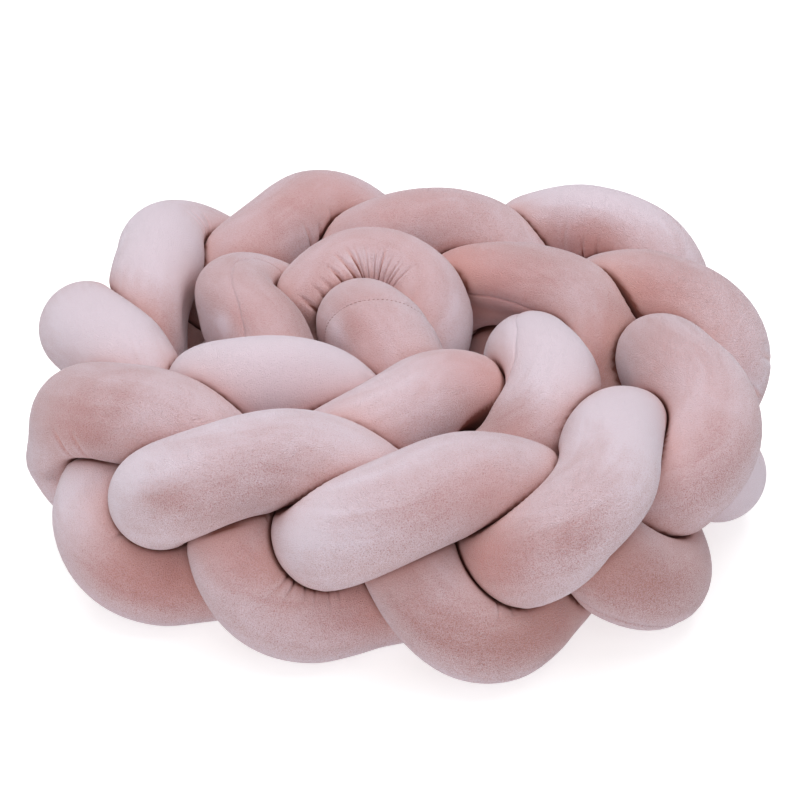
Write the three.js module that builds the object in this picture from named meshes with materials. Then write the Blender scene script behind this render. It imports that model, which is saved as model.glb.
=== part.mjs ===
import * as THREE from 'three';

// Braided crib bumper, in millimetres with +Z up. Three stuffed velvet tubes are plaited into one thick braid.
// The braid stands on its edge and is coiled inwards, clockwise seen from above, for about two turns. The
// strands press each other flat where they touch, and their lowest bends lie flat on the surface below.
// The origin is on that surface, under the middle of the coil.

// Driving dimensions
const STRAND_NAMES = ['strand_1', 'strand_2', 'strand_3'];
const STRAND_COUNT = STRAND_NAMES.length;
const STRAND_RADIUS = 37.5; // of a stuffed tube where nothing presses on it
const BRAID_RISE = 48; // how far a strand climbs and falls from the braid's middle height
const OUTER_SWING = 29; // how far a strand swings from the braid's middle line to the coil's outer side
const INNER_SWING = 18.5; // and to its inner side
const FLOOR_PRESS = 3; // how far the lowest bends are pressed flat
const CONTACT_GAP = 1.2; // left between strands that press on each other
const CLOSEST = 55; // how near the middles of two pressed strands may come
const END_LENGTH = 40; // over which the end of a strand rounds off
const VELVET = { color: 0xc9a09c, roughness: 0.9, metalness: 0 };

// Where the braid's middle line passes below each bend over its top, in turn from the outer end of the coil to
// the inner one, with how far that bend is lifted and the shares of the full rise and swing made there. Bend 0
// is the second row: the first and last rows only lead the braid in and out.
const FIRST_BEND = -1;
const TOP_BENDS = [
  { x: 92, y: 271, lift: 0, rise: 0.3, swing: 0.6 },
  { x: 164, y: 187, lift: 0, rise: 1, swing: 1 },
  { x: 197, y: 58, lift: 0, rise: 1, swing: 1 },
  { x: 201, y: -56, lift: 0, rise: 1, swing: 1 },
  { x: 141, y: -174, lift: 0, rise: 1, swing: 1 },
  { x: 33, y: -200, lift: 0, rise: 1, swing: 1 },
  { x: -95, y: -173, lift: 2, rise: 1, swing: 1 },
  { x: -182, y: -122, lift: -2, rise: 1, swing: 1 },
  { x: -208, y: -2, lift: 0, rise: 1, swing: 1 },
  { x: -201, y: 119, lift: 0, rise: 1, swing: 1 },
  { x: -94, y: 187, lift: 0, rise: 1, swing: 1 },
  { x: 14, y: 181, lift: 0, rise: 1, swing: 1 },
  { x: 119, y: 77, lift: -2, rise: 1, swing: 1 },
  { x: 107, y: -58, lift: -4, rise: 1, swing: 1 },
  { x: 11, y: -106, lift: 0, rise: 1, swing: 1 },
  { x: -100, y: -83, lift: 0, rise: 1, swing: 1 },
  { x: -121, y: 21, lift: -4, rise: 1, swing: 1 },
  { x: -33, y: 77, lift: -10, rise: 1, swing: 0.9 },
  { x: -19, y: -3, lift: 0, rise: 1, swing: 0.3 },
  { x: -3, y: -84, lift: 0, rise: 1, swing: 0.2 },
];

// Where a strand lies off the even plait: so many bends after its bend over the top, it is moved along the
// braid, outwards and up, and less so within a reach to both sides.
const SHIFT_REACH = 0.33; // in bends
const SHIFTS = [
  { bend: 0, after: 0.3, along: 0, outward: -13, up: -3 },
  { bend: 0, after: 1.85, along: 0, outward: -6, up: 0 },
  { bend: 1, after: -0.4, along: 14, outward: 8, up: -10 },
  { bend: 1, after: 0.2, along: 0, outward: -8, up: 0 },
  { bend: 1, after: 1.85, along: 0, outward: -6, up: 0 },
  { bend: 2, after: -0.4, along: 4, outward: 15, up: -3 },
  { bend: 3, after: -0.4, along: 0, outward: 8, up: 0 },
  { bend: 3, after: 1.85, along: 0, outward: -9, up: 0 },
  { bend: 4, after: -0.35, along: 0, outward: 20, up: -10 },
  { bend: 4, after: 0.45, along: 0, outward: -9, up: 3 },
  { bend: 4, after: 2, along: 0, outward: 3, up: 16 },
  { bend: 5, after: 0.5, along: 5, outward: 0, up: 7 },
  { bend: 5, after: 1.7, along: 12, outward: -34, up: 0 },
  { bend: 6, after: -0.35, along: 8, outward: 10, up: -5 },
  { bend: 6, after: 0.4, along: 3, outward: -12, up: -4 },
  { bend: 6, after: 0.85, along: -38, outward: 12, up: -19 },
  { bend: 6, after: 1.3, along: -12, outward: 20, up: 0 },
  { bend: 7, after: -0.2, along: -18, outward: 4, up: 0 },
  { bend: 7, after: 0.4, along: 7, outward: -3, up: 5 },
  { bend: 8, after: -0.4, along: -24, outward: 14, up: 0 },
  { bend: 8, after: 0.2, along: 0, outward: -8, up: 0 },
  { bend: 9, after: -0.45, along: -5, outward: 7, up: 0 },
  { bend: 12, after: -0.4, along: 6, outward: 10, up: -3 },
  { bend: 12, after: 0.2, along: 0, outward: -5, up: 0 },
  { bend: 14, after: 0.6, along: -30, outward: 0, up: 0 },
];

// Where each strand starts and stops, counted in top bends.
const STRAND_ENDS = [
  { start: -0.7, stop: 16.9 },
  { start: -0.7, stop: 17.6 },
  { start: -0.7, stop: 17.7 },
];

// Fineness of the solids
const STATIONS = 150; // along each strand
const SIDES = 16; // around each strand
const END_STATIONS = [0, 0.2, 0.5]; // closer together where a strand rounds off
const FINE = 4; // points of a neighbour's middle line to each station

// How the plaited strands settle against each other
const SETTLE_ROUNDS = 60;
const PUSH = 0.35; // share of an overlap that is mended in one round
const HOLD = 0.02; // pull back to the plait
const SPREAD = 0.5; // of a move along its strand
const FAR_ALONG = 4.4 * STRAND_RADIUS; // parts of one strand this far apart press on each other
const EDGE_SHARPNESS = 10; // of the rim of a pressed patch
const TIGHTEST_BEND = 0.85; // share of a bend's own radius that the strand fills

const MIDDLE_HEIGHT = BRAID_RISE + STRAND_RADIUS - FLOOR_PRESS;
const UP = new THREE.Vector3(0, 0, 1);

function smoothCurve(points) {
  return new THREE.CatmullRomCurve3(points, false, 'catmullrom', 0.5);
}

const middleLine = smoothCurve(TOP_BENDS.map(({ x, y }) => new THREE.Vector3(x, y, 0)));
const bendShape = smoothCurve(TOP_BENDS.map(({ lift, rise, swing }) => new THREE.Vector3(lift, rise, swing)));

// A point of a strand's middle as it is plaited: it climbs and falls once in three bends, and swings from
// side to side twice, so that it passes over one strand and under the next.
function plaitedPoint(strand, bend) {
  const along = (bend - FIRST_BEND) / (TOP_BENDS.length - 1);
  const place = middleLine.getPoint(along);
  const heading = middleLine.getTangent(along);
  const { x: lift, y: rise, z: swing } = bendShape.getPoint(along);
  const turn = 2 * Math.PI * (bend - strand) / STRAND_COUNT;
  const outward = new THREE.Vector3(-heading.y, heading.x, 0);
  const sway = Math.sin(2 * turn);
  place.addScaledVector(outward, swing * sway * (sway > 0 ? OUTER_SWING : INNER_SWING));
  place.z = MIDDLE_HEIGHT + BRAID_RISE * rise * Math.cos(turn) + lift * Math.max(0, Math.cos(turn));
  for (const shift of SHIFTS.filter((row) => (row.bend - strand) % STRAND_COUNT === 0)) {
    const share = Math.exp(-(((bend - shift.bend - shift.after) / SHIFT_REACH) ** 2));
    place.addScaledVector(heading, share * shift.along);
    place.addScaledVector(outward, share * shift.outward);
    place.z += share * shift.up;
  }
  return place;
}

function plaitedLine(strand) {
  const { start, stop } = STRAND_ENDS[strand];
  const stations = Array.from({ length: STATIONS + 1 }, (_, i) => i / STATIONS);
  return stations.map((share) => plaitedPoint(strand, THREE.MathUtils.lerp(start, stop, share)));
}

function lengthsAlong(line) {
  const lengths = [0];
  for (let i = 1; i < line.length; i++) {
    lengths.push(lengths[i - 1] + line[i].distanceTo(line[i - 1]));
  }
  return lengths;
}

// The points of all strands, each with its strand and its length along it.
function beadsOf(lines) {
  return lines.flatMap((line, strand) => {
    const lengths = lengthsAlong(line);
    return line.map((point, i) => ({ strand, point, length: lengths[i] }));
  });
}

function canPress(bead, other) {
  return bead.strand !== other.strand || Math.abs(bead.length - other.length) > FAR_ALONG;
}

// How a bead is pushed off the others. The deepest press counts most.
function pushOn(bead, beads) {
  const push = new THREE.Vector3();
  const away = new THREE.Vector3();
  let total = 0;
  for (const other of beads) {
    const distance = bead.point.distanceTo(other.point);
    if (distance >= CLOSEST || distance === 0 || !canPress(bead, other)) {
      continue;
    }
    const depth = CLOSEST - distance;
    away.subVectors(bead.point, other.point);
    push.addScaledVector(away, depth * depth / distance);
    total += depth;
  }
  return total > 0 ? push.multiplyScalar(PUSH / total) : push;
}

// Strands that lie too deep in each other part and stay above the surface. What moves a point is spread along
// its strand, so that the plait keeps its bends.
function settle(lines) {
  const homes = lines.map((line) => line.map((point) => point.clone()));
  const beads = beadsOf(lines);
  for (let round = 0; round < SETTLE_ROUNDS; round++) {
    const pushes = beads.map((bead) => pushOn(bead, beads));
    beads.forEach((bead, i) => bead.point.add(pushes[i]));
    lines.forEach((line, strand) => {
      const moves = line.map((point, i) => point.clone().sub(homes[strand][i]).multiplyScalar(1 - HOLD));
      line.forEach((point, i) => {
        const before = moves[Math.max(0, i - 1)];
        const after = moves[Math.min(moves.length - 1, i + 1)];
        const spread = before.clone().lerp(after, 0.5);
        point.copy(homes[strand][i]).add(moves[i].clone().lerp(spread, SPREAD));
        point.setZ(Math.max(point.z, STRAND_RADIUS - FLOOR_PRESS));
      });
    });
  }
  return lines;
}

// How far the skin stands off the middle in one direction: the strand's radius, or less where it meets the
// flat patch halfway to a neighbour or the inside of its own bend. The middle points are those that the facets
// around the station reach over, and the nearest patch counts.
function skinDistance(middles, direction, curving, neighbours) {
  let limit = 2 * STRAND_RADIUS;
  const towards = new THREE.Vector3();
  for (const middle of middles) {
    for (const neighbour of neighbours) {
      towards.subVectors(neighbour, middle);
      const facing = direction.dot(towards);
      if (facing > 0) {
        const distance = towards.length();
        limit = Math.min(limit, (distance - CONTACT_GAP) / 2 * distance / facing);
      }
    }
  }
  const bending = curving.dot(direction);
  if (bending > 0) {
    limit = Math.min(limit, TIGHTEST_BEND / bending);
  }
  const free = STRAND_RADIUS ** -EDGE_SHARPNESS;
  return (free + limit ** -EDGE_SHARPNESS) ** (-1 / EDGE_SHARPNESS);
}

function roundedEnd(distance) {
  const left = 1 - Math.min(1, distance / END_LENGTH);
  return Math.sqrt(1 - left * left);
}

// One ring of the skin around point i of a strand's middle.
function ring(line, lengths, i, strand, beads) {
  const middle = line[i];
  const heading = line[i + 1].clone().sub(line[i - 1]).normalize();
  const before = line[i].clone().sub(line[i - 1]).normalize();
  const after = line[i + 1].clone().sub(line[i]).normalize();
  const curving = after.sub(before).divideScalar((lengths[i + 1] - lengths[i - 1]) / 2);
  const upward = UP.clone().addScaledVector(heading, -heading.z).normalize();
  const sideways = heading.clone().cross(upward);
  const middles = [line[i - 1], middle, line[i + 1]].map((point) => point.clone().lerp(middle, 0.5));
  const here = { strand, length: lengths[i] };
  const near = beads.filter((bead) => bead.point.distanceTo(middle) < 3 * STRAND_RADIUS && canPress(here, bead));
  const neighbours = near.map((bead) => bead.point);
  const endShare = roundedEnd(Math.min(lengths[i], lengths[lengths.length - 1] - lengths[i]));
  return Array.from({ length: SIDES }, (_, side) => {
    const angle = 2 * Math.PI * side / SIDES;
    const direction = upward.clone().multiplyScalar(Math.cos(angle));
    direction.addScaledVector(sideways, Math.sin(angle));
    const point = middle.clone();
    point.addScaledVector(direction, endShare * skinDistance(middles, direction, curving, neighbours));
    if (point.z < 0) {
      point.lerpVectors(middle, point, middle.z / (middle.z - point.z)).setZ(0);
    }
    return point;
  });
}

// The closed skin of a strand: rings along it, and a point at each end.
function strandGeometry(curve, strand, beads) {
  const between = Array.from({ length: STATIONS - 1 }, (_, i) => i + 1);
  const stations = [...END_STATIONS, ...between, ...END_STATIONS.map((station) => STATIONS - station).reverse()];
  const line = stations.map((station) => curve.getPoint(station / STATIONS));
  const lengths = lengthsAlong(line);
  const rings = [];
  for (let i = 1; i < line.length - 1; i++) {
    rings.push(ring(line, lengths, i, strand, beads));
  }
  const points = [line[0], ...rings.flat(), line[line.length - 1]];
  const corner = (row, side) => 1 + row * SIDES + side % SIDES;
  const triangles = [];
  for (let side = 0; side < SIDES; side++) {
    triangles.push(0, corner(0, side + 1), corner(0, side));
    for (let row = 0; row < rings.length - 1; row++) {
      triangles.push(corner(row, side), corner(row, side + 1), corner(row + 1, side + 1));
      triangles.push(corner(row, side), corner(row + 1, side + 1), corner(row + 1, side));
    }
    const last = rings.length - 1;
    triangles.push(points.length - 1, corner(last, side), corner(last, side + 1));
  }
  const geometry = new THREE.BufferGeometry().setFromPoints(points);
  geometry.setIndex(triangles);
  geometry.computeVertexNormals();
  return geometry;
}

const plait = STRAND_NAMES.map((_, strand) => plaitedLine(strand));
const curves = settle(plait).map(smoothCurve);
const fineBeads = beadsOf(curves.map((curve) => curve.getPoints(STATIONS * FINE)));

const bumper = new THREE.Group();
STRAND_NAMES.forEach((name, strand) => {
  const geometry = strandGeometry(curves[strand], strand, fineBeads);
  const mesh = new THREE.Mesh(geometry, new THREE.MeshStandardMaterial(VELVET));
  mesh.name = name;
  bumper.add(mesh);
});

export default bumper;
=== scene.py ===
"""Braided crib bumper: three stuffed velvet strands, plaited and coiled, with their gathers and sewn seams.

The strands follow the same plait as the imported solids. Here their skin is fine enough for the cloth's
puckers, seams and stitches, and the velvet has its brushed pile. Lengths are in metres, with +Z up.
"""

import math
from collections import namedtuple

import bpy
import numpy as np
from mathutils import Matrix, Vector


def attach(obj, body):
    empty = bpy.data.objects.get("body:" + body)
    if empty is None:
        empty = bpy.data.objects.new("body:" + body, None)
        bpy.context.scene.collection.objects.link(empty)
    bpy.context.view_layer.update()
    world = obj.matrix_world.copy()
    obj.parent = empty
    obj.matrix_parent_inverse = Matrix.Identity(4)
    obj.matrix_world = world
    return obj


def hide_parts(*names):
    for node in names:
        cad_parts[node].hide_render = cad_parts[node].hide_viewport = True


bl_info = {
    "name": "Braided crib bumper",
    "version": (1, 0, 0),
    "blender": (4, 5, 0),
    "location": "View3D > Sidebar > Bumper",
    "description": "Plaits stuffed velvet strands into a coiled braid and sets it on a plain floor",
    "category": "Object",
}

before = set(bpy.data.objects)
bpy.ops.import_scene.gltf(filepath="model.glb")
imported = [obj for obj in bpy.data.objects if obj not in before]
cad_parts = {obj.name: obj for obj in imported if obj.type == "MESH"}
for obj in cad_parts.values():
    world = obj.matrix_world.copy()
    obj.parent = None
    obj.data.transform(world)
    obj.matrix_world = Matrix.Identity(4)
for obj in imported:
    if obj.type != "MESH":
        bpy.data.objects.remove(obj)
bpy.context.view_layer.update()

STRAND_NODES = ["strand_1", "strand_2", "strand_3"]

# Where the braid's middle line passes below each bend over its top, from the outer end of the coil to the
# inner one, with how far that bend is lifted and the shares of the full rise and swing made there. Bend 0
# is the second row: the first and last rows only lead the braid in and out.
Bend = namedtuple("Bend", "x y lift rise swing")
FIRST_BEND = -1
TOP_BENDS = [
    Bend(0.092, 0.271, 0, 0.3, 0.6),
    Bend(0.164, 0.187, 0, 1, 1),
    Bend(0.197, 0.058, 0, 1, 1),
    Bend(0.201, -0.056, 0, 1, 1),
    Bend(0.141, -0.174, 0, 1, 1),
    Bend(0.033, -0.200, 0, 1, 1),
    Bend(-0.095, -0.173, 0.002, 1, 1),
    Bend(-0.182, -0.122, -0.002, 1, 1),
    Bend(-0.208, -0.002, 0, 1, 1),
    Bend(-0.201, 0.119, 0, 1, 1),
    Bend(-0.094, 0.187, 0, 1, 1),
    Bend(0.014, 0.181, 0, 1, 1),
    Bend(0.119, 0.077, -0.002, 1, 1),
    Bend(0.107, -0.058, -0.004, 1, 1),
    Bend(0.011, -0.106, 0, 1, 1),
    Bend(-0.100, -0.083, 0, 1, 1),
    Bend(-0.121, 0.021, -0.004, 1, 1),
    Bend(-0.033, 0.077, -0.010, 1, 0.9),
    Bend(-0.019, -0.003, 0, 1, 0.3),
    Bend(-0.003, -0.084, 0, 1, 0.2),
]

# Where a strand lies off the even plait: so many bends after its bend over the top, it is moved along the
# braid, outwards and up, and less so within a reach to both sides.
Shift = namedtuple("Shift", "bend after along outward up")
SHIFT_REACH = 0.33
SHIFTS = [
    Shift(0, 0.3, 0, -0.013, -0.003),
    Shift(0, 1.85, 0, -0.006, 0),
    Shift(1, -0.4, 0.014, 0.008, -0.010),
    Shift(1, 0.2, 0, -0.008, 0),
    Shift(1, 1.85, 0, -0.006, 0),
    Shift(2, -0.4, 0.004, 0.015, -0.003),
    Shift(3, -0.4, 0, 0.008, 0),
    Shift(3, 1.85, 0, -0.009, 0),
    Shift(4, -0.35, 0, 0.020, -0.010),
    Shift(4, 0.45, 0, -0.009, 0.003),
    Shift(4, 2, 0, 0.003, 0.016),
    Shift(5, 0.5, 0.005, 0, 0.007),
    Shift(5, 1.7, 0.012, -0.034, 0),
    Shift(6, -0.35, 0.008, 0.010, -0.005),
    Shift(6, 0.4, 0.003, -0.012, -0.004),
    Shift(6, 0.85, -0.038, 0.012, -0.019),
    Shift(6, 1.3, -0.012, 0.020, 0),
    Shift(7, -0.2, -0.018, 0.004, 0),
    Shift(7, 0.4, 0.007, -0.003, 0.005),
    Shift(8, -0.4, -0.024, 0.021, 0),
    Shift(8, 0.2, 0, -0.008, 0),
    Shift(9, -0.45, -0.005, 0.007, 0),
    Shift(12, -0.4, 0.006, 0.010, -0.003),
    Shift(12, 0.2, 0, -0.005, 0),
    Shift(14, 0.6, -0.030, 0, 0),
]

# Where each strand starts and stops, counted in top bends.
StrandEnds = namedtuple("StrandEnds", "start stop")
STRAND_ENDS = [StrandEnds(-0.7, 16.9), StrandEnds(-0.7, 17.6), StrandEnds(-0.7, 17.7)]

# Where the filling makes a strand fuller (plus) or leaves it slack (minus), by how much its skin moves.
# Each patch is centred on a bend and an angle around the strand, in degrees from its top, where plus is
# towards the middle of the coil. It fades out over a length and an angle.
Filling = namedtuple("Filling", "strand bend around length width more")
FILLINGS = [
    Filling(0, 3.26, -128, 0.036, 35, -0.008),
    Filling(2, 3.76, -10, 0.040, 40, 0.003),
    Filling(0, 4.75, -10, 0.040, 40, 0.003),
    Filling(2, 5.15, -118, 0.040, 32, -0.005),
    Filling(1, 5.77, -10, 0.040, 40, 0.003),
    Filling(0, 6.62, -150, 0.050, 45, 0.010),
    Filling(2, 7.42, 88, 0.055, 50, -0.010),
    Filling(2, 10.72, 118, 0.050, 35, -0.012),
    Filling(2, 11.33, -35, 0.030, 35, -0.004),
    Filling(2, 11.56, -35, 0.028, 40, -0.008),
    Filling(0, 12.52, 0, 0.028, 42, -0.008),
    Filling(2, 14.02, 5, 0.050, 40, 0.004),
    Filling(0, 14.60, 50, 0.022, 35, -0.005),
    Filling(0, 15.00, -90, 0.040, 40, -0.007),
    Filling(1, 15.45, 72, 0.030, 45, -0.0135),
    Filling(1, 16.30, -50, 0.050, 40, -0.004),
]

# Puckers where a bend draws the cloth in: around which bend, at which angle around the strand, over what
# length and angle, how many folds and how deep.
Gather = namedtuple("Gather", "strand bend around length width folds depth")
GATHERS = [
    Gather(0, -0.06, 88, 0.008, 46, 1, 0.0018),
    Gather(0, 0.06, 104, 0.014, 40, 2, 0.0038),
    Gather(0, 0.22, 98, 0.006, 34, 1, 0.0024),
    Gather(1, 1.53, -72, 0.020, 35, 2, 0.0026),
    Gather(2, 3.80, -12, 0.030, 42, 3, 0.0022),
    Gather(0, 4.77, -12, 0.048, 44, 6, 0.0032),
    Gather(1, 5.77, -8, 0.030, 40, 3, 0.0028),
    Gather(0, 6.22, -108, 0.016, 34, 2, 0.0028),
    Gather(2, 8.22, 58, 0.026, 40, 3, 0.0030),
    Gather(0, 8.97, 94, 0.026, 48, 3, 0.0032),
    Gather(1, 15.73, 52, 0.044, 42, 6, 0.0044),
    Gather(1, 16.10, 66, 0.074, 50, 9, 0.0034),
]

# The seam that closes each tube lengthwise: its angle around the strand, bend by bend.
LongSeam = namedtuple("LongSeam", "bend around")
LONG_SEAMS = [
    [
        LongSeam(8.0, 150),
        LongSeam(8.97, 105),
        LongSeam(10.5, 40),
        LongSeam(11.6, 18),
        LongSeam(11.9, 28),
        LongSeam(12.06, 49),
        LongSeam(12.5, 110),
        LongSeam(14.0, 260),
        LongSeam(14.81, 322),
        LongSeam(15.09, 360),
        LongSeam(15.6, 420),
    ],
    [
        LongSeam(1.0, -170),
        LongSeam(2.7, -140),
        LongSeam(3.1, -128),
        LongSeam(3.4, -130),
        LongSeam(4.2, -170),
    ],
    [
        LongSeam(9.0, 140),
        LongSeam(10.3, 82),
        LongSeam(10.8, 78),
        LongSeam(11.2, 95),
        LongSeam(12.5, 170),
    ],
]

# Seams across a strand, where two lengths of tube are sewn together: the bend at the strand's top, and how
# far the seam has moved along the strand for each degree around it.
CrossSeam = namedtuple("CrossSeam", "strand bend lean")
CROSS_SEAMS = [
    CrossSeam(2, 17.05, -0.00022),
]

# Patches where the pile is paler (plus) or deeper (minus): partly pile brushed one way, partly painted
# highlight where a lobe faces the light and painted shade where neighbours shadow it.
BrushAndLightMark = namedtuple("BrushAndLightMark", "strand bend around length width tone")
BRUSH_AND_LIGHT_MARKS = [
    BrushAndLightMark(0, 0.00, 5, 0.060, 45, 0.9),
    BrushAndLightMark(0, 0.00, 75, 0.050, 35, -0.3),
    BrushAndLightMark(0, 0.10, 87, 0.020, 30, -0.6),
    BrushAndLightMark(1, 0.98, 74, 0.030, 30, -0.6),
    BrushAndLightMark(1, 1.05, 30, 0.055, 50, -0.35),
    BrushAndLightMark(2, 1.90, 45, 0.030, 35, -0.5),
    BrushAndLightMark(0, 2.05, -90, 0.060, 60, 0.8),
    BrushAndLightMark(2, 2.42, 30, 0.030, 30, 0.35),
    BrushAndLightMark(2, 2.55, -60, 0.050, 45, -0.35),
    BrushAndLightMark(0, 2.88, -25, 0.048, 65, 1.0),
    BrushAndLightMark(1, 3.00, -70, 0.055, 50, -1.0),
    BrushAndLightMark(0, 3.33, -19, 0.045, 45, -0.15),
    BrushAndLightMark(0, 3.38, -56, 0.013, 20, -0.5),
    BrushAndLightMark(0, 3.64, -62, 0.026, 50, -1.3),
    BrushAndLightMark(2, 3.58, -62, 0.033, 40, -1.2),
    BrushAndLightMark(1, 3.72, -30, 0.026, 45, 0.05),
    BrushAndLightMark(2, 3.88, -70, 0.060, 45, -0.8),
    BrushAndLightMark(1, 4.15, -65, 0.040, 35, -0.2),
    BrushAndLightMark(1, 4.36, -104, 0.050, 30, -0.12),
    BrushAndLightMark(2, 4.67, -19, 0.030, 40, 0.4),
    BrushAndLightMark(0, 4.52, -75, 0.030, 40, -0.4),
    BrushAndLightMark(0, 4.85, -60, 0.050, 45, -0.2),
    BrushAndLightMark(0, 4.98, -14, 0.026, 32, -0.6),
    BrushAndLightMark(1, 4.30, 10, 0.055, 35, 0.4),
    BrushAndLightMark(1, 4.50, -60, 0.035, 50, 0.5),
    BrushAndLightMark(2, 5.00, -70, 0.050, 35, -0.2),
    BrushAndLightMark(2, 5.10, 20, 0.060, 35, 0.5),
    BrushAndLightMark(2, 5.26, -100, 0.035, 30, -0.4),
    BrushAndLightMark(2, 5.34, -70, 0.012, 16, -0.7),
    BrushAndLightMark(2, 5.45, -40, 0.030, 50, 0.6),
    BrushAndLightMark(1, 5.56, -85, 0.040, 40, -0.4),
    BrushAndLightMark(1, 5.70, -50, 0.050, 45, -0.8),
    BrushAndLightMark(1, 6.00, -40, 0.030, 50, 0.5),
    BrushAndLightMark(1, 6.11, -20, 0.020, 40, 0.5),
    BrushAndLightMark(0, 5.82, -55, 0.025, 30, 0.35),
    BrushAndLightMark(0, 6.11, -88, 0.012, 16, -0.5),
    BrushAndLightMark(0, 6.15, -50, 0.055, 55, -0.35),
    BrushAndLightMark(0, 6.21, -85, 0.030, 35, -0.35),
    BrushAndLightMark(1, 7.00, -20, 0.055, 65, 0.9),
    BrushAndLightMark(1, 7.89, 27, 0.040, 60, -1.2),
    BrushAndLightMark(0, 8.35, 91, 0.040, 50, -1.0),
    BrushAndLightMark(1, 10.86, 43, 0.035, 50, -0.8),
    BrushAndLightMark(2, 7.42, 20, 0.028, 45, -0.8),
    BrushAndLightMark(2, 7.70, 60, 0.045, 30, 0.7),
    BrushAndLightMark(2, 7.95, 0, 0.060, 65, 0.9),
    BrushAndLightMark(0, 8.85, 25, 0.045, 40, -0.3),
    BrushAndLightMark(1, 9.90, 20, 0.065, 55, -0.25),
    BrushAndLightMark(2, 10.62, 35, 0.035, 40, -0.8),
    BrushAndLightMark(2, 10.76, 36, 0.012, 18, 0.5),
    BrushAndLightMark(2, 11.00, 30, 0.065, 55, -0.4),
    BrushAndLightMark(2, 11.33, -29, 0.020, 40, -0.6),
    BrushAndLightMark(2, 11.50, -40, 0.030, 45, -1.4),
    BrushAndLightMark(0, 12.05, -10, 0.050, 60, 1.0),
    BrushAndLightMark(0, 12.14, -76, 0.020, 28, -0.8),
    BrushAndLightMark(0, 12.30, -50, 0.030, 22, 0.3),
    BrushAndLightMark(0, 12.47, -15, 0.025, 50, -0.8),
    BrushAndLightMark(1, 13.03, -83, 0.040, 25, -0.3),
    BrushAndLightMark(1, 13.20, -10, 0.050, 40, 0.3),
    BrushAndLightMark(2, 13.98, -62, 0.040, 30, 0.5),
    BrushAndLightMark(2, 14.00, -15, 0.070, 65, 1.2),
    BrushAndLightMark(0, 14.68, 40, 0.030, 30, -0.6),
    BrushAndLightMark(0, 14.88, -60, 0.009, 14, 1.0),
    BrushAndLightMark(0, 14.90, -25, 0.060, 60, -0.3),
    BrushAndLightMark(1, 15.50, 69, 0.020, 40, -0.8),
    BrushAndLightMark(1, 16.42, -42, 0.012, 14, 0.4),
    BrushAndLightMark(1, 16.54, -64, 0.025, 30, 0.4),
    BrushAndLightMark(2, 16.99, 69, 0.010, 18, 0.7),
    BrushAndLightMark(2, 17.00, 38, 0.020, 30, -0.3),
    BrushAndLightMark(2, 17.08, 58, 0.009, 13, -0.5),
    BrushAndLightMark(2, 17.33, 44, 0.020, 40, 0.1),
]

# Patches of painted reflected light: the velvet is painted rosier where the strands beside it throw their
# colour back on it.
BounceLightPatch = namedtuple("BounceLightPatch", "strand bend around length width share")
BOUNCE_LIGHT_PATCHES = [
    BounceLightPatch(0, 0.05, 85, 0.040, 35, 0.40),
    BounceLightPatch(1, 0.85, 35, 0.030, 50, 0.20),
    BounceLightPatch(1, 1.05, 60, 0.030, 30, 0.30),
    BounceLightPatch(2, 2.30, 0, 0.060, 60, 0.12),
    BounceLightPatch(2, 3.60, -65, 0.030, 45, 0.25),
    BounceLightPatch(0, 3.64, -60, 0.025, 50, 0.50),
    BounceLightPatch(1, 3.95, -70, 0.035, 40, 0.35),
    BounceLightPatch(0, 4.55, -45, 0.035, 45, 0.35),
    BounceLightPatch(0, 5.12, -34, 0.022, 40, 0.35),
    BounceLightPatch(1, 5.66, -50, 0.040, 45, 0.35),
    BounceLightPatch(0, 6.21, -85, 0.030, 40, 0.25),
    BounceLightPatch(1, 7.89, 27, 0.040, 60, 0.60),
    BounceLightPatch(0, 8.85, 25, 0.050, 50, 0.20),
    BounceLightPatch(0, 9.20, 55, 0.040, 50, 0.45),
    BounceLightPatch(1, 9.90, 20, 0.060, 50, 0.20),
    BounceLightPatch(2, 10.55, 30, 0.035, 45, 0.75),
    BounceLightPatch(2, 10.72, 112, 0.045, 30, 0.80),
    BounceLightPatch(2, 10.85, 60, 0.040, 35, 0.35),
    BounceLightPatch(1, 10.86, 43, 0.035, 50, 0.70),
    BounceLightPatch(2, 11.50, -10, 0.030, 40, 0.12),
    BounceLightPatch(1, 12.66, -45, 0.035, 50, 0.50),
    BounceLightPatch(1, 12.95, -30, 0.050, 50, 0.20),
    BounceLightPatch(2, 13.95, -60, 0.035, 35, 0.15),
    BounceLightPatch(0, 14.88, -20, 0.060, 60, 0.18),
    BounceLightPatch(1, 16.10, 0, 0.120, 70, 0.20),
    BounceLightPatch(2, 17.15, 40, 0.050, 60, 0.20),
]

# How the plaited strands settle against each other
STATIONS = 150
SETTLE_ROUNDS = 60
PUSH = 0.35
HOLD = 0.02
SPREAD = 0.5
CLOSEST = 0.055
NEVER_ZERO = 1e-12

# How the skin of a strand is found: reaches are in strand radii
FINE = 4
HEADING_STEP = 1.0
LINE_SAMPLES = 4001
OWN_REACH = 4.4  # a strand can press on itself only from this far along it
PRESS_REACH = 3
UNPRESSED = 2
TIGHTEST_BEND = 0.85
EDGE_SHARPNESS = 18  # of the rim of a pressed patch
UNEVENNESS = 0.012
UNEVEN_SIZES = (0.06, 0.16)
UNEVEN_SEED = 11
UNEVEN_WAVES = 28

# The folds of a gather vary at random: how far each strays from its even place, and the shares of the
# gather's width and depth that it has. Its slant is in metres for each degree around the strand.
FOLD_SEED = 100
FOLD_STRAY = 0.25
FOLD_WIDTHS = (0.6, 1.0)
FOLD_DEPTHS = (0.5, 1.0)
FOLD_SLANT = 0.00005
FOLD_BREADTHS = (0.0009, 0.0015)
RIDGE_HIGHLIGHT_PLACE = 2.2  # breadths from a fold's line to the painted highlight on the ridge beside it

# A seam is a fine line in a shallow hollow.
Groove = namedtuple("Groove", "depth breadth")
SEAM_GROOVES = [Groove(0.0011, 0.0011), Groove(0.0009, 0.005)]

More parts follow.
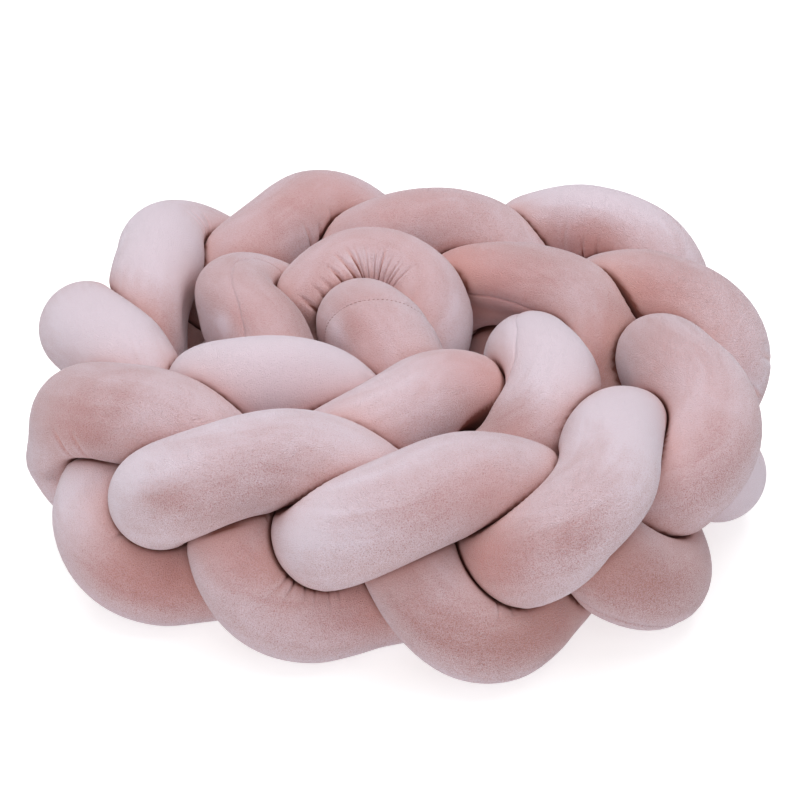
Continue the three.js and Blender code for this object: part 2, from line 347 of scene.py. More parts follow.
# Stitches of a cross seam: they go this far round to both sides, in degrees, and taper to their ends
STITCHED_TO = 120
STITCH_TURN = 4.6
STITCH_SHARE = 0.68
STITCH_RADIUS = 0.00055
STITCH_SIDES = 8
StitchRing = namedtuple("StitchRing", "share size")
STITCH_RINGS = [
    StitchRing(0.0, 0.25),
    StitchRing(0.12, 0.8),
    StitchRing(0.5, 1.0),
    StitchRing(0.88, 0.8),
    StitchRing(1.0, 0.25),
]

# Fineness of the skin: its rings are closer at gathers, cross seams and ends
SIDES = 112
SEAM_CLOSENESS = 0.72
RING_STEP = 0.0052
FINE_STEP = 0.0010
END_STEP = 0.0012
GATHER_REACH = 0.6  # in lengths of the gather, to both sides
SEAM_REACH = 0.030
END_REACH = 0.008

# Painted shade: the velvet is painted dark between strands by their nearness, in the folds of a gather and
# in deep slack
CREVICE_SHADE_WIDTH = 0.011
CREVICE_SHADE_REACH = 3.4
FULL_CREASE_SHADE = 0.0026
FULL_HOLLOW_SHADE = 0.0135
HOLLOW_SHADE_SHARPNESS = 3

# How the pile lies, with painted highlight and painted shade added to it. A tone of 0 is rose, 1 is pale
# and -1 is deep.
Clouds = namedtuple("Clouds", "size detail distortion")
STROKES = Clouds(0.016, 2.0, 0.8)
STROKE_STRETCH = (0.3, 1, 1)
STROKE_TONE = 0.8
SMUDGES = Clouds(0.045, 2.0, 1.0)
SMUDGE_TONE = 0.6
CLOUD_ROUGHNESS = 0.6
CLOUD_MIDDLE = 0.5
PLAIN_TONE = 0.48
# Painted highlight: how much paler the ridges beside a gather's folds are painted
RIDGE_HIGHLIGHT_TONE = 0.35
CREVICE_SHADE_TONE = 0.1

# The tufts of the pile and the gaps between them, which show most where the pile isn't pale and, as painted
# shade, on the side away from the light
PILE_DETAIL = 0.0
PILE_DISTORTION = 0.5
TUFT_SIZE = 0.9  # in pile sizes
TUFT_HEIGHT = 0.8
CURL_HEIGHT = 0.8
GAP_SHARPNESS = 3.0
GAP_MIDDLE = 0.17
GAP_TONE = 1.6
GAP_TONE_LOST = 0.8
SHADED_SIDE = (0.45, -0.3, -0.8)  # to the right, the front and downwards
GRAIN_PLAIN = 1.7
SHADED_SIDE_MORE = 1.25

# How crevices are painted: a warm colour as painted reflected light from the strand beside, a dark crease
# colour as painted shade where strands touch, and the sheen taken away there as painted shade. A higher
# sharpness keeps that closer to the touch
BOUNCE_LIGHT_SHARE = 0.65
CREASE_SHADE_SHARE = 0.8
CREASE_SHADE_SHARPNESS = 9
SHEENLESS_SHADE_SHARPNESS = 4


class BraidSizes(bpy.types.PropertyGroup):
    """Sizes of the strands and of their plait."""

    strand_radius: bpy.props.FloatProperty(
        name="Strand radius",
        description="Radius of a stuffed tube where nothing presses on it",
        default=0.0375,
        unit="LENGTH",
        precision=4,
    )
    rise: bpy.props.FloatProperty(
        name="Rise",
        description="How far a strand climbs and falls from the braid's middle height",
        default=0.048,
        unit="LENGTH",
        precision=4,
    )
    outer_swing: bpy.props.FloatProperty(
        name="Outer swing",
        description="How far a strand swings from the braid's middle line to the coil's outer side",
        default=0.029,
        unit="LENGTH",
        precision=4,
    )
    inner_swing: bpy.props.FloatProperty(
        name="Inner swing",
        description="How far a strand swings from the braid's middle line to the coil's inner side",
        default=0.0185,
        unit="LENGTH",
        precision=4,
    )
    floor_press: bpy.props.FloatProperty(
        name="Floor press",
        description="How far the lowest bends are pressed flat",
        default=0.003,
        unit="LENGTH",
        precision=4,
    )
    contact_gap: bpy.props.FloatProperty(
        name="Contact gap",
        description="Left between strands that press on each other",
        default=0.0005,
        unit="LENGTH",
        precision=4,
    )
    end_length: bpy.props.FloatProperty(
        name="End length",
        description="Over which the end of a strand rounds off",
        default=0.040,
        unit="LENGTH",
        precision=4,
    )


class VelvetLook(bpy.types.PropertyGroup):
    """Colours and pile of the velvet."""

    rose: bpy.props.FloatVectorProperty(
        name="Rose",
        description="Colour of the pile as it lies",
        subtype="COLOR",
        size=4,
        default=(0.495, 0.303, 0.31, 1),
    )
    # Pale also serves as painted highlight on lobes that face the light
    pale: bpy.props.FloatVectorProperty(
        name="Pale",
        description="Colour of pile that is brushed towards the light",
        subtype="COLOR",
        size=4,
        default=(0.695, 0.58, 0.65, 1),
    )
    # Deep also serves as painted shade where the marks stand for shadow from neighbouring strands
    deep: bpy.props.FloatVectorProperty(
        name="Deep",
        description="Colour of pile that is brushed away from the light",
        subtype="COLOR",
        size=4,
        default=(0.36, 0.155, 0.138, 1),
    )
    # Painted reflected light: near another strand the pile is painted lighter and redder, as if lit by that
    # strand's colour
    bounce_light: bpy.props.FloatVectorProperty(
        name="Warm",
        description="Colour of the pile near another strand, which throws its own colour back",
        subtype="COLOR",
        size=4,
        default=(0.72, 0.40, 0.36, 1),
    )
    # Painted reflected light: the colour of patches painted rosier by light thrown back from neighbouring
    # strands
    bounce_rosy: bpy.props.FloatVectorProperty(
        name="Rosy",
        description="Colour of the pile in its rosier patches",
        subtype="COLOR",
        size=4,
        default=(0.64, 0.265, 0.24, 1),
    )
    # Painted shade: the dark colour painted where two strands touch, in place of the shadow between them
    crease_shade: bpy.props.FloatVectorProperty(
        name="Crease",
        description="Colour of the pile where two strands touch",
        subtype="COLOR",
        size=4,
        default=(0.15, 0.035, 0.018, 1),
    )
    thread: bpy.props.FloatVectorProperty(
        name="Thread",
        description="Colour of the sewing thread",
        subtype="COLOR",
        size=4,
        default=(0.36, 0.20, 0.19, 1),
    )
    sheen: bpy.props.FloatProperty(
        name="Sheen",
        description="How strongly the pile's tips catch light from the side",
        default=0.55,
        min=0,
        max=1,
        subtype="FACTOR",
    )
    pile_size: bpy.props.FloatProperty(
        name="Pile size",
        description="Size of the tufts into which the short pile gathers",
        default=0.0008,
        unit="LENGTH",
        precision=4,
    )


class StageLook(bpy.types.PropertyGroup):
    """Camera."""

    camera_distance: bpy.props.FloatProperty(
        name="Camera distance",
        description="From the point that the camera turns about",
        default=1.6,
        unit="LENGTH",
    )
    camera_height: bpy.props.FloatProperty(
        name="Camera elevation",
        description="Angle of the camera above the floor",
        default=math.radians(33),
        subtype="ANGLE",
    )
    lens: bpy.props.FloatProperty(
        name="Lens",
        description="Focal length on a 36 mm sensor",
        default=93.6,
        unit="CAMERA",
    )


def smooth_curve(points, shares):
    """Points at these shares of the evenly timed curve that passes through all given points."""
    last = len(points) - 1
    lead_in = 2 * points[:1] - points[1:2]
    lead_out = 2 * points[-1:] - points[-2:-1]
    led = np.vstack([lead_in, points, lead_out])
    place = np.clip(shares, 0, 1) * last
    step = np.minimum(place.astype(int), last - 1)
    t = (place - step)[:, None]
    before, start, stop, after = (led[step + k] for k in range(4))
    leaving = (stop - before) / 2
    arriving = (after - start) / 2
    square = 3 * (stop - start) - 2 * leaving - arriving
    cube = 2 * (start - stop) + leaving + arriving
    return start + t * (leaving + t * (square + t * cube))


def unit(vectors):
    """The vectors at length 1."""
    return vectors / np.linalg.norm(vectors, axis=-1, keepdims=True)


def lengths_along(line):
    """Length along a line of points, from its start to each point."""
    steps = np.linalg.norm(np.diff(line, axis=0), axis=1)
    return np.concatenate([[0], np.cumsum(steps)])


def plaited_line(strand, sizes):
    """A strand's middle as it is plaited: it climbs and falls once in three bends, and swings twice."""
    ends = STRAND_ENDS[strand]
    bends = np.linspace(ends.start, ends.stop, STATIONS + 1)
    shares = (bends - FIRST_BEND) / (len(TOP_BENDS) - 1)
    table = np.array(TOP_BENDS, float)
    lift, rise, swing = smooth_curve(table[:, 2:], shares).T
    small = 1e-4
    heading = unit(smooth_curve(table[:, :2], shares + small) - smooth_curve(table[:, :2], shares - small))
    outward = np.stack([-heading[:, 1], heading[:, 0]], axis=1)
    turn = 2 * np.pi * (bends - strand) / len(STRAND_NODES)
    sway = np.sin(2 * turn)
    sway = swing * sway * np.where(sway > 0, sizes.outer_swing, sizes.inner_swing)
    place = smooth_curve(table[:, :2], shares) + outward * sway[:, None]
    middle = sizes.rise + sizes.strand_radius - sizes.floor_press
    height = middle + sizes.rise * rise * np.cos(turn) + lift * np.maximum(0, np.cos(turn))
    for shift in SHIFTS:
        if (shift.bend - strand) % len(STRAND_NODES) == 0:
            share = np.exp(-(((bends - shift.bend - shift.after) / SHIFT_REACH) ** 2))
            place += share[:, None] * (heading * shift.along + outward * shift.outward)
            height += share * shift.up
    return np.column_stack([place, height])


def settle(lines, sizes):
    """Parts strands that lie too deep in each other, spreading each move along its strand."""
    homes = np.array(lines)
    count, stations = homes.shape[:2]
    owner = np.repeat(np.arange(count), stations)
    along = np.concatenate([lengths_along(line) for line in homes])
    apart = np.abs(along[:, None] - along[None]) > OWN_REACH * sizes.strand_radius
    can_press = (owner[:, None] != owner[None]) | apart
    points = homes.copy()
    for _ in range(SETTLE_ROUNDS):
        flat = points.reshape(-1, 3)
        away = flat[:, None] - flat[None]
        distance = np.linalg.norm(away, axis=2)
        depth = np.where(can_press, np.maximum(0, CLOSEST - distance), 0)
        weight = depth * depth / np.maximum(distance, NEVER_ZERO)
        total = depth.sum(axis=1)
        push = (weight[:, :, None] * away).sum(axis=1) * (PUSH / np.maximum(total, NEVER_ZERO))[:, None]
        moves = ((flat + push).reshape(points.shape) - homes) * (1 - HOLD)
        beside = np.concatenate([moves[:, :1], moves, moves[:, -1:]], axis=1)
        spread = (beside[:, :-2] + beside[:, 2:]) / 2
        points = homes + moves + (spread - moves) * SPREAD
        points[:, :, 2] = np.maximum(points[:, :, 2], sizes.strand_radius - sizes.floor_press)
    return points


def share_at(strand, bend):
    """Share of a strand's stations at which it passes this bend."""
    ends = STRAND_ENDS[strand]
    return (bend - ends.start) / (ends.stop - ends.start)


class StrandMiddle:
    """The settled middle line of one strand, with its rings' places along it."""

    def __init__(self, strand, settled):
        self.strand = strand
        self.settled = settled
        self.shares = np.linspace(0, 1, LINE_SAMPLES)
        self.lengths = lengths_along(smooth_curve(settled, self.shares))
        self.length = self.lengths[-1]
        self.ring_lengths = self.place_rings()
        ring_shares = np.interp(self.ring_lengths, self.lengths, self.shares)
        ends = STRAND_ENDS[strand]
        self.ring_bends = ends.start + ring_shares * (ends.stop - ends.start)
        self.middles = smooth_curve(settled, ring_shares)
        step = HEADING_STEP / STATIONS
        before = smooth_curve(settled, ring_shares - step)
        after = smooth_curve(settled, ring_shares + step)
        self.heading = unit(after - before)
        span = np.linalg.norm(after - before, axis=1)[:, None] / 2
        first = unit(self.middles - before + NEVER_ZERO)
        second = unit(after - self.middles + NEVER_ZERO)
        self.curving = (second - first) / span
        up = np.array([0, 0, 1.0])
        self.upward = unit(up - self.heading * self.heading[:, 2:])
        self.sideways = np.cross(self.heading, self.upward)
        even = np.arange(SIDES) / SIDES
        self.from_seam = 2 * np.pi * even - SEAM_CLOSENESS * np.sin(2 * np.pi * even)
        seam = np.array(LONG_SEAMS[strand], float)
        seam_around = np.radians(np.interp(self.ring_bends, seam[:, 0], seam[:, 1]))
        self.angles = seam_around[:, None] + self.from_seam

    def length_at(self, bend):
        """Length along the strand at this bend."""
        return np.interp(share_at(self.strand, bend), self.shares, self.lengths)

    def seam_length(self, seam, around):
        """Length along the strand at which a cross seam passes this angle around it."""
        return self.length_at(seam.bend) + seam.lean * around

    def directions(self):
        """The way out from the middle, at each ring and side."""
        up = np.cos(self.angles)[:, :, None] * self.upward[:, None]
        return up + np.sin(self.angles)[:, :, None] * self.sideways[:, None]

    def place_rings(self):
        """Lengths along the strand of its rings, closer where cloth is gathered or sewn and at the ends."""
        density = np.full(len(self.lengths), 1 / RING_STEP)
        for gather in GATHERS:
            if gather.strand == self.strand:
                off = np.abs(self.lengths - self.length_at(gather.bend))
                density[off < GATHER_REACH * gather.length] = 1 / FINE_STEP
        for seam in CROSS_SEAMS:
            if seam.strand == self.strand:
                off = np.abs(self.lengths - self.length_at(seam.bend))
                density[off < SEAM_REACH] = 1 / FINE_STEP
        from_end = np.minimum(self.lengths, self.length - self.lengths)
        density = np.maximum(density, np.where(from_end < END_REACH, 1 / END_STEP, 0))
        steps = np.diff(self.lengths)
        count = np.concatenate([[0], np.cumsum((density[1:] + density[:-1]) / 2 * steps)])
        rings = int(count[-1])
        return np.interp(np.linspace(0, count[-1], rings), count, self.lengths)[1:-1]


def waves(points, seed):
    """Smooth unevenness in space, mostly from -1 to 1 and the same each time."""
    draw = np.random.default_rng(seed)
    total = np.zeros(points.shape[:-1])
    for _ in range(UNEVEN_WAVES):
        direction = unit(draw.normal(size=3))
        length = draw.uniform(*UNEVEN_SIZES)
        total += np.sin(2 * np.pi * (points @ direction) / length + draw.uniform(0, 2 * np.pi))
    return total / math.sqrt(UNEVEN_WAVES)


def rounded_end(distance, end_length):
    """Share of the strand's radius at this distance from its end."""
    left = 1 - np.minimum(1, distance / end_length)
    return np.sqrt(1 - left * left)


def around_between(angles, centre):
    """Angles measured from a centre angle, from -180 to 180 degrees."""
    return (np.degrees(angles) - centre + 180) % 360 - 180


def gathered(middle, gather, seed):
    """How far the folds of one gather draw the skin in, and how much painted highlight goes on the ridges
    beside them.
    """
    draw = np.random.default_rng(seed)
    off = (middle.ring_lengths - middle.length_at(gather.bend))[:, None]
    turn = around_between(middle.angles, gather.around)
    drawn = np.zeros(turn.shape)
    ridge_highlight = np.zeros(turn.shape)
    places = np.linspace(-0.5, 0.5, gather.folds) * gather.length
    for place in places:
        centre = place + draw.uniform(-FOLD_STRAY, FOLD_STRAY) * gather.length / gather.folds
        reach = gather.width * draw.uniform(*FOLD_WIDTHS)
        depth = gather.depth * draw.uniform(*FOLD_DEPTHS)
        slant = draw.uniform(-FOLD_SLANT, FOLD_SLANT)
        breadth = draw.uniform(*FOLD_BREADTHS)
        from_fold = (off - centre - slant * turn) / breadth
        fade = np.clip(1 - (turn / reach) ** 2, 0, 1)
        drawn += depth * fade * np.exp(-(from_fold**2))
        ridge_highlight += fade * np.exp(-((np.abs(from_fold) - RIDGE_HIGHLIGHT_PLACE) ** 2))
    return drawn, ridge_highlight


def groove(off):
    """How far a seam draws the skin in at this distance from it."""
    return sum(part.depth * np.exp(-((off / part.breadth) ** 2)) for part in SEAM_GROOVES)


def sewn_across(middle, seam):
    """How far a cross seam draws the skin in, at each ring and side."""
    around = around_between(middle.angles, 0)
    return groove(middle.ring_lengths[:, None] - middle.seam_length(seam, around))


def sewn_along(middle, sizes):
    """How far the lengthwise seam draws the skin in on each side."""
    return groove(sizes.strand_radius * (np.mod(middle.from_seam + np.pi, 2 * np.pi) - np.pi))


def skin_radii(middle, beads, sizes):
    """How far the skin stands off the middle, less where it is pressed, bent or slack."""
    directions = middle.directions()
    outer = middle.middles[:, None] + directions * sizes.strand_radius
    free = sizes.strand_radius * (1 + UNEVENNESS * waves(outer, UNEVEN_SEED + middle.strand))
    filling = patched(middle, FILLINGS)
    free += np.maximum(0, filling)
    limit = np.full(directions.shape[:2], UNPRESSED * sizes.strand_radius)
    for i, centre in enumerate(middle.middles):
        towards = beads.points - centre
        distance = np.linalg.norm(towards, axis=1)
        own = beads.owner == middle.strand
        far_along = np.abs(beads.along - middle.ring_lengths[i]) > OWN_REACH * sizes.strand_radius
        near = (distance < PRESS_REACH * sizes.strand_radius) & (~own | far_along)
        if not near.any():
            continue
        facing = directions[i] @ towards[near].T
        reach = (distance[near] - sizes.contact_gap) / 2 * distance[near]
        open_way = np.where(facing > NEVER_ZERO, reach / np.maximum(facing, NEVER_ZERO), np.inf)
        limit[i] = np.minimum(limit[i], open_way.min(axis=1))
    bending = np.einsum("ijk,ik->ij", directions, middle.curving)
    limit = np.minimum(limit, TIGHTEST_BEND / np.maximum(bending, NEVER_ZERO))
    pressed = (free**-EDGE_SHARPNESS + limit**-EDGE_SHARPNESS) ** (-1 / EDGE_SHARPNESS)
    return pressed + np.minimum(0, filling)


def nearness(middle, points, beads, sizes):
    """How near each skin point is to another strand: 1 where they touch, then fading out. This is the mask
    of the painted crevice shade.
    """
    near_by = np.zeros(points.shape[:2])
    for i, centre in enumerate(middle.middles):
        reachable = np.linalg.norm(beads.points - centre, axis=1) < CREVICE_SHADE_REACH * sizes.strand_radius
        own = beads.owner == middle.strand
        far_along = np.abs(beads.along - middle.ring_lengths[i]) > OWN_REACH * sizes.strand_radius
        others = beads.points[reachable & (~own | far_along)]
        if len(others):
            distance = np.linalg.norm(points[i][:, None] - others[None], axis=2).min(axis=1)
            near_by[i] = np.exp(-np.maximum(0, distance - sizes.strand_radius) / CREVICE_SHADE_WIDTH)
    return near_by


def patched(middle, patches):
    """Sum of these soft patches at each ring and side: the last number of each is its strength."""
    total = np.zeros(middle.angles.shape)
    for patch in patches:
        if patch.strand == middle.strand:
            off = (middle.ring_lengths - middle.length_at(patch.bend))[:, None] / patch.length
            turn = around_between(middle.angles, patch.around) / patch.width
            total += patch[-1] * np.exp(-(off**2) - turn**2)
    return total


Beads = namedtuple("Beads", "points owner along")


def fine_beads(settled):
    """Close points of all strands' middle lines, with their strand and length along it."""
    shares = np.linspace(0, 1, STATIONS * FINE + 1)
    lines = [smooth_curve(points, shares) for points in settled]
    owner = np.repeat(np.arange(len(lines)), len(shares))
    return Beads(np.vstack(lines), owner, np.concatenate([lengths_along(line) for line in lines]))


def folded(middle):
    """How far all gathers draw the skin in, and how much painted highlight goes on the ridges beside their
    folds.
    """
    drawn = np.zeros(middle.angles.shape)
    ridge_highlight = np.zeros(middle.angles.shape)
    for number, gather in enumerate(GATHERS):
        if gather.strand == middle.strand:
            more_drawn, more_ridge_highlight = gathered(middle, gather, FOLD_SEED + number)
            drawn += more_drawn
            ridge_highlight += more_ridge_highlight
    return drawn, ridge_highlight


def sewn(middle, sizes):
    """How far all seams draw the skin in, at each ring and side."""
    drawn = np.repeat(sewn_along(middle, sizes)[None], len(middle.ring_lengths), axis=0)
    for seam in CROSS_SEAMS:
        if seam.strand == middle.strand:
            drawn += sewn_across(middle, seam)
    return drawn


def strand_mesh(middle, radii, folds, ridge_highlights, beads, sizes):
    """The closed skin of a strand, with what each point needs for its colour."""
    directions = middle.directions()
    from_end = np.minimum(middle.ring_lengths, middle.length - middle.ring_lengths)
    radii = radii * rounded_end(from_end, sizes.end_length)[:, None]
    points = middle.middles[:, None] + directions * radii[:, :, None]
    height = middle.middles[:, None, 2]
    below = points[:, :, 2] < 0
    shorten = np.where(below, height / np.maximum(height - points[:, :, 2], NEVER_ZERO), 1)
    points = middle.middles[:, None] + (points - middle.middles[:, None]) * shorten[:, :, None]
    points[below, 2] = 0
    ends = smooth_curve(middle.settled, np.array([0.0, 1.0]))
    vertices = np.vstack([ends[:1], points.reshape(-1, 3), ends[1:]])
    rings = len(middle.ring_lengths)
    corner = 1 + np.arange(rings * SIDES).reshape(rings, SIDES)
    beside = np.roll(corner, -1, axis=1)
    quads = np.stack([corner[:-1], beside[:-1], beside[1:], corner[1:]], axis=-1).reshape(-1, 4)
    first = [(0, int(b), int(a)) for a, b in zip(corner[0], beside[0])]
    last = [(len(vertices) - 1, int(a), int(b)) for a, b in zip(corner[-1], beside[-1])]
    mesh = bpy.data.meshes.new(STRAND_NODES[middle.strand] + "_velvet")
    mesh.from_pydata(vertices.tolist(), [], first + quads.tolist() + last)
    mesh.shade_smooth()
    # Painted shade: a mask of where the velvet is painted darker, near other strands, in the folds of
    # gathers and in deep slack hollows
    crevice_shade = np.maximum(nearness(middle, points, beads, sizes), np.minimum(1, folds / FULL_CREASE_SHADE))
    hollow_shade = np.clip(-patched(middle, FILLINGS) / FULL_HOLLOW_SHADE, 0, 1) ** HOLLOW_SHADE_SHARPNESS
    keep(mesh, "crevice_shade", np.maximum(crevice_shade, hollow_shade))
    # Brushed pile with painted highlight and shade, and painted highlight on the ridges beside folds
    keep(mesh, "brush_and_light", patched(middle, BRUSH_AND_LIGHT_MARKS) + RIDGE_HIGHLIGHT_TONE * ridge_highlights)
    # Painted reflected light: patches lit by the colour of neighbouring strands
    keep(mesh, "bounce_patch", patched(middle, BOUNCE_LIGHT_PATCHES))
    along = middle.ring_lengths[:, None] + middle.strand * middle.length + 0 * middle.angles
    across = sizes.strand_radius * np.stack([np.cos(middle.angles), np.sin(middle.angles)], axis=-1)
    keep(mesh, "laid", np.concatenate([along[:, :, None], across], axis=-1))
    return mesh


def stitch_mesh(middle, radii, seam):
    """Short thread stitches that lie in a cross seam."""
    vertices = []
    faces = []
    for around in np.arange(-STITCHED_TO, STITCHED_TO, STITCH_TURN):
        ends = []
        for edge in (around, around + STITCH_TURN * STITCH_SHARE):
            ring = int(np.searchsorted(middle.ring_lengths, middle.seam_length(seam, edge)))
            angle = math.radians(edge)
            radius = np.interp(angle, middle.angles[ring], radii[ring], period=2 * np.pi)
            out = math.cos(angle) * middle.upward[ring] + math.sin(angle) * middle.sideways[ring]
            ends.append((middle.middles[ring] + out * radius, out))
        add_stitch(vertices, faces, ends)
    mesh = bpy.data.meshes.new("seam_stitches")
    mesh.from_pydata(vertices, [], faces)
    mesh.shade_smooth()
    return mesh


def add_stitch(vertices, faces, ends):
    """One stitch: a short round thread between two points of the seam, thin at both ends."""
    (start, out), (stop, _) = ends
    run = unit(stop - start)
    side = np.cross(run, out)
    first = len(vertices)
    for share, size in STITCH_RINGS:
        for k in range(STITCH_SIDES):
            angle = 2 * math.pi * k / STITCH_SIDES
            off = math.cos(angle) * out + math.sin(angle) * side
            vertices.append(tuple(start + (stop - start) * share + off * size * STITCH_RADIUS))
    for row in range(len(STITCH_RINGS) - 1):
        for k in range(STITCH_SIDES):
            here = first + row * STITCH_SIDES
            beside = (k + 1) % STITCH_SIDES
            faces.append((here + k, here + STITCH_SIDES + k, here + STITCH_SIDES + beside, here + beside))
    faces.append(tuple(first + k for k in range(STITCH_SIDES)))
    faces.append(tuple(first + len(STITCH_RINGS) * STITCH_SIDES - 1 - k for k in range(STITCH_SIDES)))


def keep(mesh, name, values):
    """Keeps a value or vector for each point of the skin, the two end points as their nearest rings."""
    vectors = values.ndim == 3
    rows = values.reshape(-1, values.shape[2] if vectors else 1)
    rows = np.vstack([rows[:1], rows, rows[-1:]])
    attribute = mesh.attributes.new(name, "FLOAT_VECTOR" if vectors else "FLOAT", "POINT")
    attribute.data.foreach_set("vector" if vectors else "value", rows.astype(np.float32).ravel())


class Shade:
    """A value in a material's nodes. Sums and products of shades add Math nodes."""

    def __init__(self, nodes, socket):
        self.nodes = nodes
        self.socket = socket

    def math(self, operation, first, second):
        return self.nodes.add("ShaderNodeMath", {"operation": operation}, {0: first, 1: second})

    def __add__(self, other):
        return self.math("ADD", self, other)

    def __radd__(self, other):
        return self.math("ADD", other, self)

    def __sub__(self, other):
        return self.math("SUBTRACT", self, other)

    def __rsub__(self, other):
        return self.math("SUBTRACT", other, self)

    def __mul__(self, other):
        return self.math("MULTIPLY", self, other)

    def __rmul__(self, other):
        return self.math("MULTIPLY", other, self)

    def __pow__(self, other):
        return self.math("POWER", self, other)

    def __rpow__(self, other):
        return self.math("POWER", other, self)

    def __abs__(self):
        return self.math("ABSOLUTE", self, 0)


class FinishNodes:
    """The node tree of one finish."""

    MIX_FACTOR, MIX_A, MIX_B, MIX_RESULT = 0, 6, 7, 2

    def __init__(self, name):
        self.material = bpy.data.materials.new(name)
        self.material.use_nodes = True
        self.tree = self.material.node_tree
        self.tree.nodes.clear()

    def add(self, kind, settings, inputs, output=0):
        """A node of this kind, its settings made first, then its sockets filled or linked."""
        node = self.tree.nodes.new(kind)
        for name, value in settings.items():
            setattr(node, name, value)
        for key, value in inputs.items():
            if isinstance(value, Shade):
                self.tree.links.new(value.socket, node.inputs[key])
            else:
                node.inputs[key].default_value = value
        return Shade(self, node.outputs[output]) if node.outputs else node

    def mix(self, factor, low, high):
        """A colour between two others."""
        settings = {"data_type": "RGBA", "clamp_factor": True}
        inputs = {self.MIX_FACTOR: factor, self.MIX_A: low, self.MIX_B: high}
        return self.add("ShaderNodeMix", settings, inputs, self.MIX_RESULT)

    def noise(self, where, clouds):
        """Cloudy unevenness from 0 to 1 with features of about the clouds' size."""
        inputs = {
            "Vector": where,
            "Scale": 1 / clouds.size,
            "Detail": clouds.detail,
            "Roughness": CLOUD_ROUGHNESS,
            "Distortion": clouds.distortion,
        }
        return self.add("ShaderNodeTexNoise", {"noise_dimensions": "3D"}, inputs)


def velvet_finish(look):
    """Velvet with a short pile: brushed patches, fine tufts and a pale sheen, with painted shade, painted
    highlight and painted reflected light in its colour.
    """
    nodes = FinishNodes("dusty_rose_velvet")
    where = nodes.add("ShaderNodeTexCoord", {}, {}, "Object")
    crevice_shade = nodes.add("ShaderNodeAttribute", {"attribute_name": "crevice_shade"}, {}, "Fac")
    brush_and_light = nodes.add("ShaderNodeAttribute", {"attribute_name": "brush_and_light"}, {}, "Fac")
    bounce_patch = nodes.add("ShaderNodeAttribute", {"attribute_name": "bounce_patch"}, {}, "Fac")
    laid = nodes.add("ShaderNodeAttribute", {"attribute_name": "laid"}, {}, "Vector")
    stretched = nodes.add("ShaderNodeVectorMath", {"operation": "MULTIPLY"}, {0: laid, 1: STROKE_STRETCH})
    curl_noise = nodes.noise(where, Clouds(look.pile_size, PILE_DETAIL, PILE_DISTORTION))
    curls = abs(curl_noise - CLOUD_MIDDLE)
    tuft_noise = nodes.noise(where, Clouds(look.pile_size * TUFT_SIZE, PILE_DETAIL, PILE_DISTORTION))
    tufts = tuft_noise * TUFT_HEIGHT + curls * CURL_HEIGHT
    streaked = (nodes.noise(stretched, STROKES) - CLOUD_MIDDLE) * STROKE_TONE
    smudged = (nodes.noise(where, SMUDGES) - CLOUD_MIDDLE) * SMUDGE_TONE
    # The pile's own tone, with the painted highlight and shade of the marks and the painted crevice shade
    lie_and_light = PLAIN_TONE + brush_and_light + streaked + smudged - crevice_shade * CREVICE_SHADE_TONE
    # Painted shade in the grain: the gaps between tufts show more strongly on the side away from the light
    facing = nodes.add("ShaderNodeTexCoord", {}, {}, "Normal")
    against = {0: facing, 1: SHADED_SIDE}
    shaded_side_grain = nodes.add("ShaderNodeVectorMath", {"operation": "DOT_PRODUCT"}, against, "Value")
    gaps = (1.0 - tufts) ** GAP_SHARPNESS - GAP_MIDDLE
    tone = lie_and_light - gaps * (GAP_TONE - lie_and_light * GAP_TONE_LOST) * (GRAIN_PLAIN + shaded_side_grain * SHADED_SIDE_MORE)
    colour = nodes.mix(tone + 1.0, tuple(look.deep), tuple(look.rose))
    colour = nodes.mix(tone, colour, tuple(look.pale))
    # Painted reflected light: the rosier patches
    colour = nodes.mix(bounce_patch, colour, tuple(look.bounce_rosy))
    # Painted reflected light from the strand beside, laid on by the crevice mask
    colour = nodes.mix(crevice_shade * BOUNCE_LIGHT_SHARE, colour, tuple(look.bounce_light))
    # Painted shade: the dark crease colour close to where strands touch
    colour = nodes.mix(crevice_shade**CREASE_SHADE_SHARPNESS * CREASE_SHADE_SHARE, colour, tuple(look.crease_shade))
    bump = nodes.add("ShaderNodeBump", {}, {"Strength": 0.8, "Distance": 0.0015, "Height": tufts})
    surface = nodes.add(
        "ShaderNodeBsdfPrincipled",
        {},
        {
            "Base Color": colour,
            "Roughness": 0.9,
            "Specular IOR Level": 0.1,
            "Sheen Weight": look.sheen,
            "Sheen Roughness": 0.4,
            "Sheen Tint": (0.85, 0.88, 0.96, 1),
            "Normal": bump,
        },
    )
    # Painted shade: in crevices the velvet is mixed to a surface without sheen, so that they stay dark
    pressed = nodes.add(
        "ShaderNodeBsdfPrincipled", {}, {"Base Color": colour, "Roughness": 0.9, "Specular IOR Level": 0.05}
    )
    both = nodes.add("ShaderNodeMixShader", {}, {0: crevice_shade**SHEENLESS_SHADE_SHARPNESS, 1: surface, 2: pressed})
    nodes.add("ShaderNodeOutputMaterial", {}, {"Surface": both})
    return nodes.material


def thread_finish(look):
    """The sewing thread."""
    nodes = FinishNodes("rose_thread")
    inputs = {"Base Color": tuple(look.thread), "Roughness": 0.6, "Specular IOR Level": 0.3}
    surface = nodes.add("ShaderNodeBsdfPrincipled", {}, inputs)
    nodes.add("ShaderNodeOutputMaterial", {}, {"Surface": surface})
    return nodes.material


def settled_strands(sizes):
    """The middle lines of all strands, plaited and settled against each other."""
    return settle([plaited_line(strand, sizes) for strand in range(len(STRAND_NODES))], sizes)


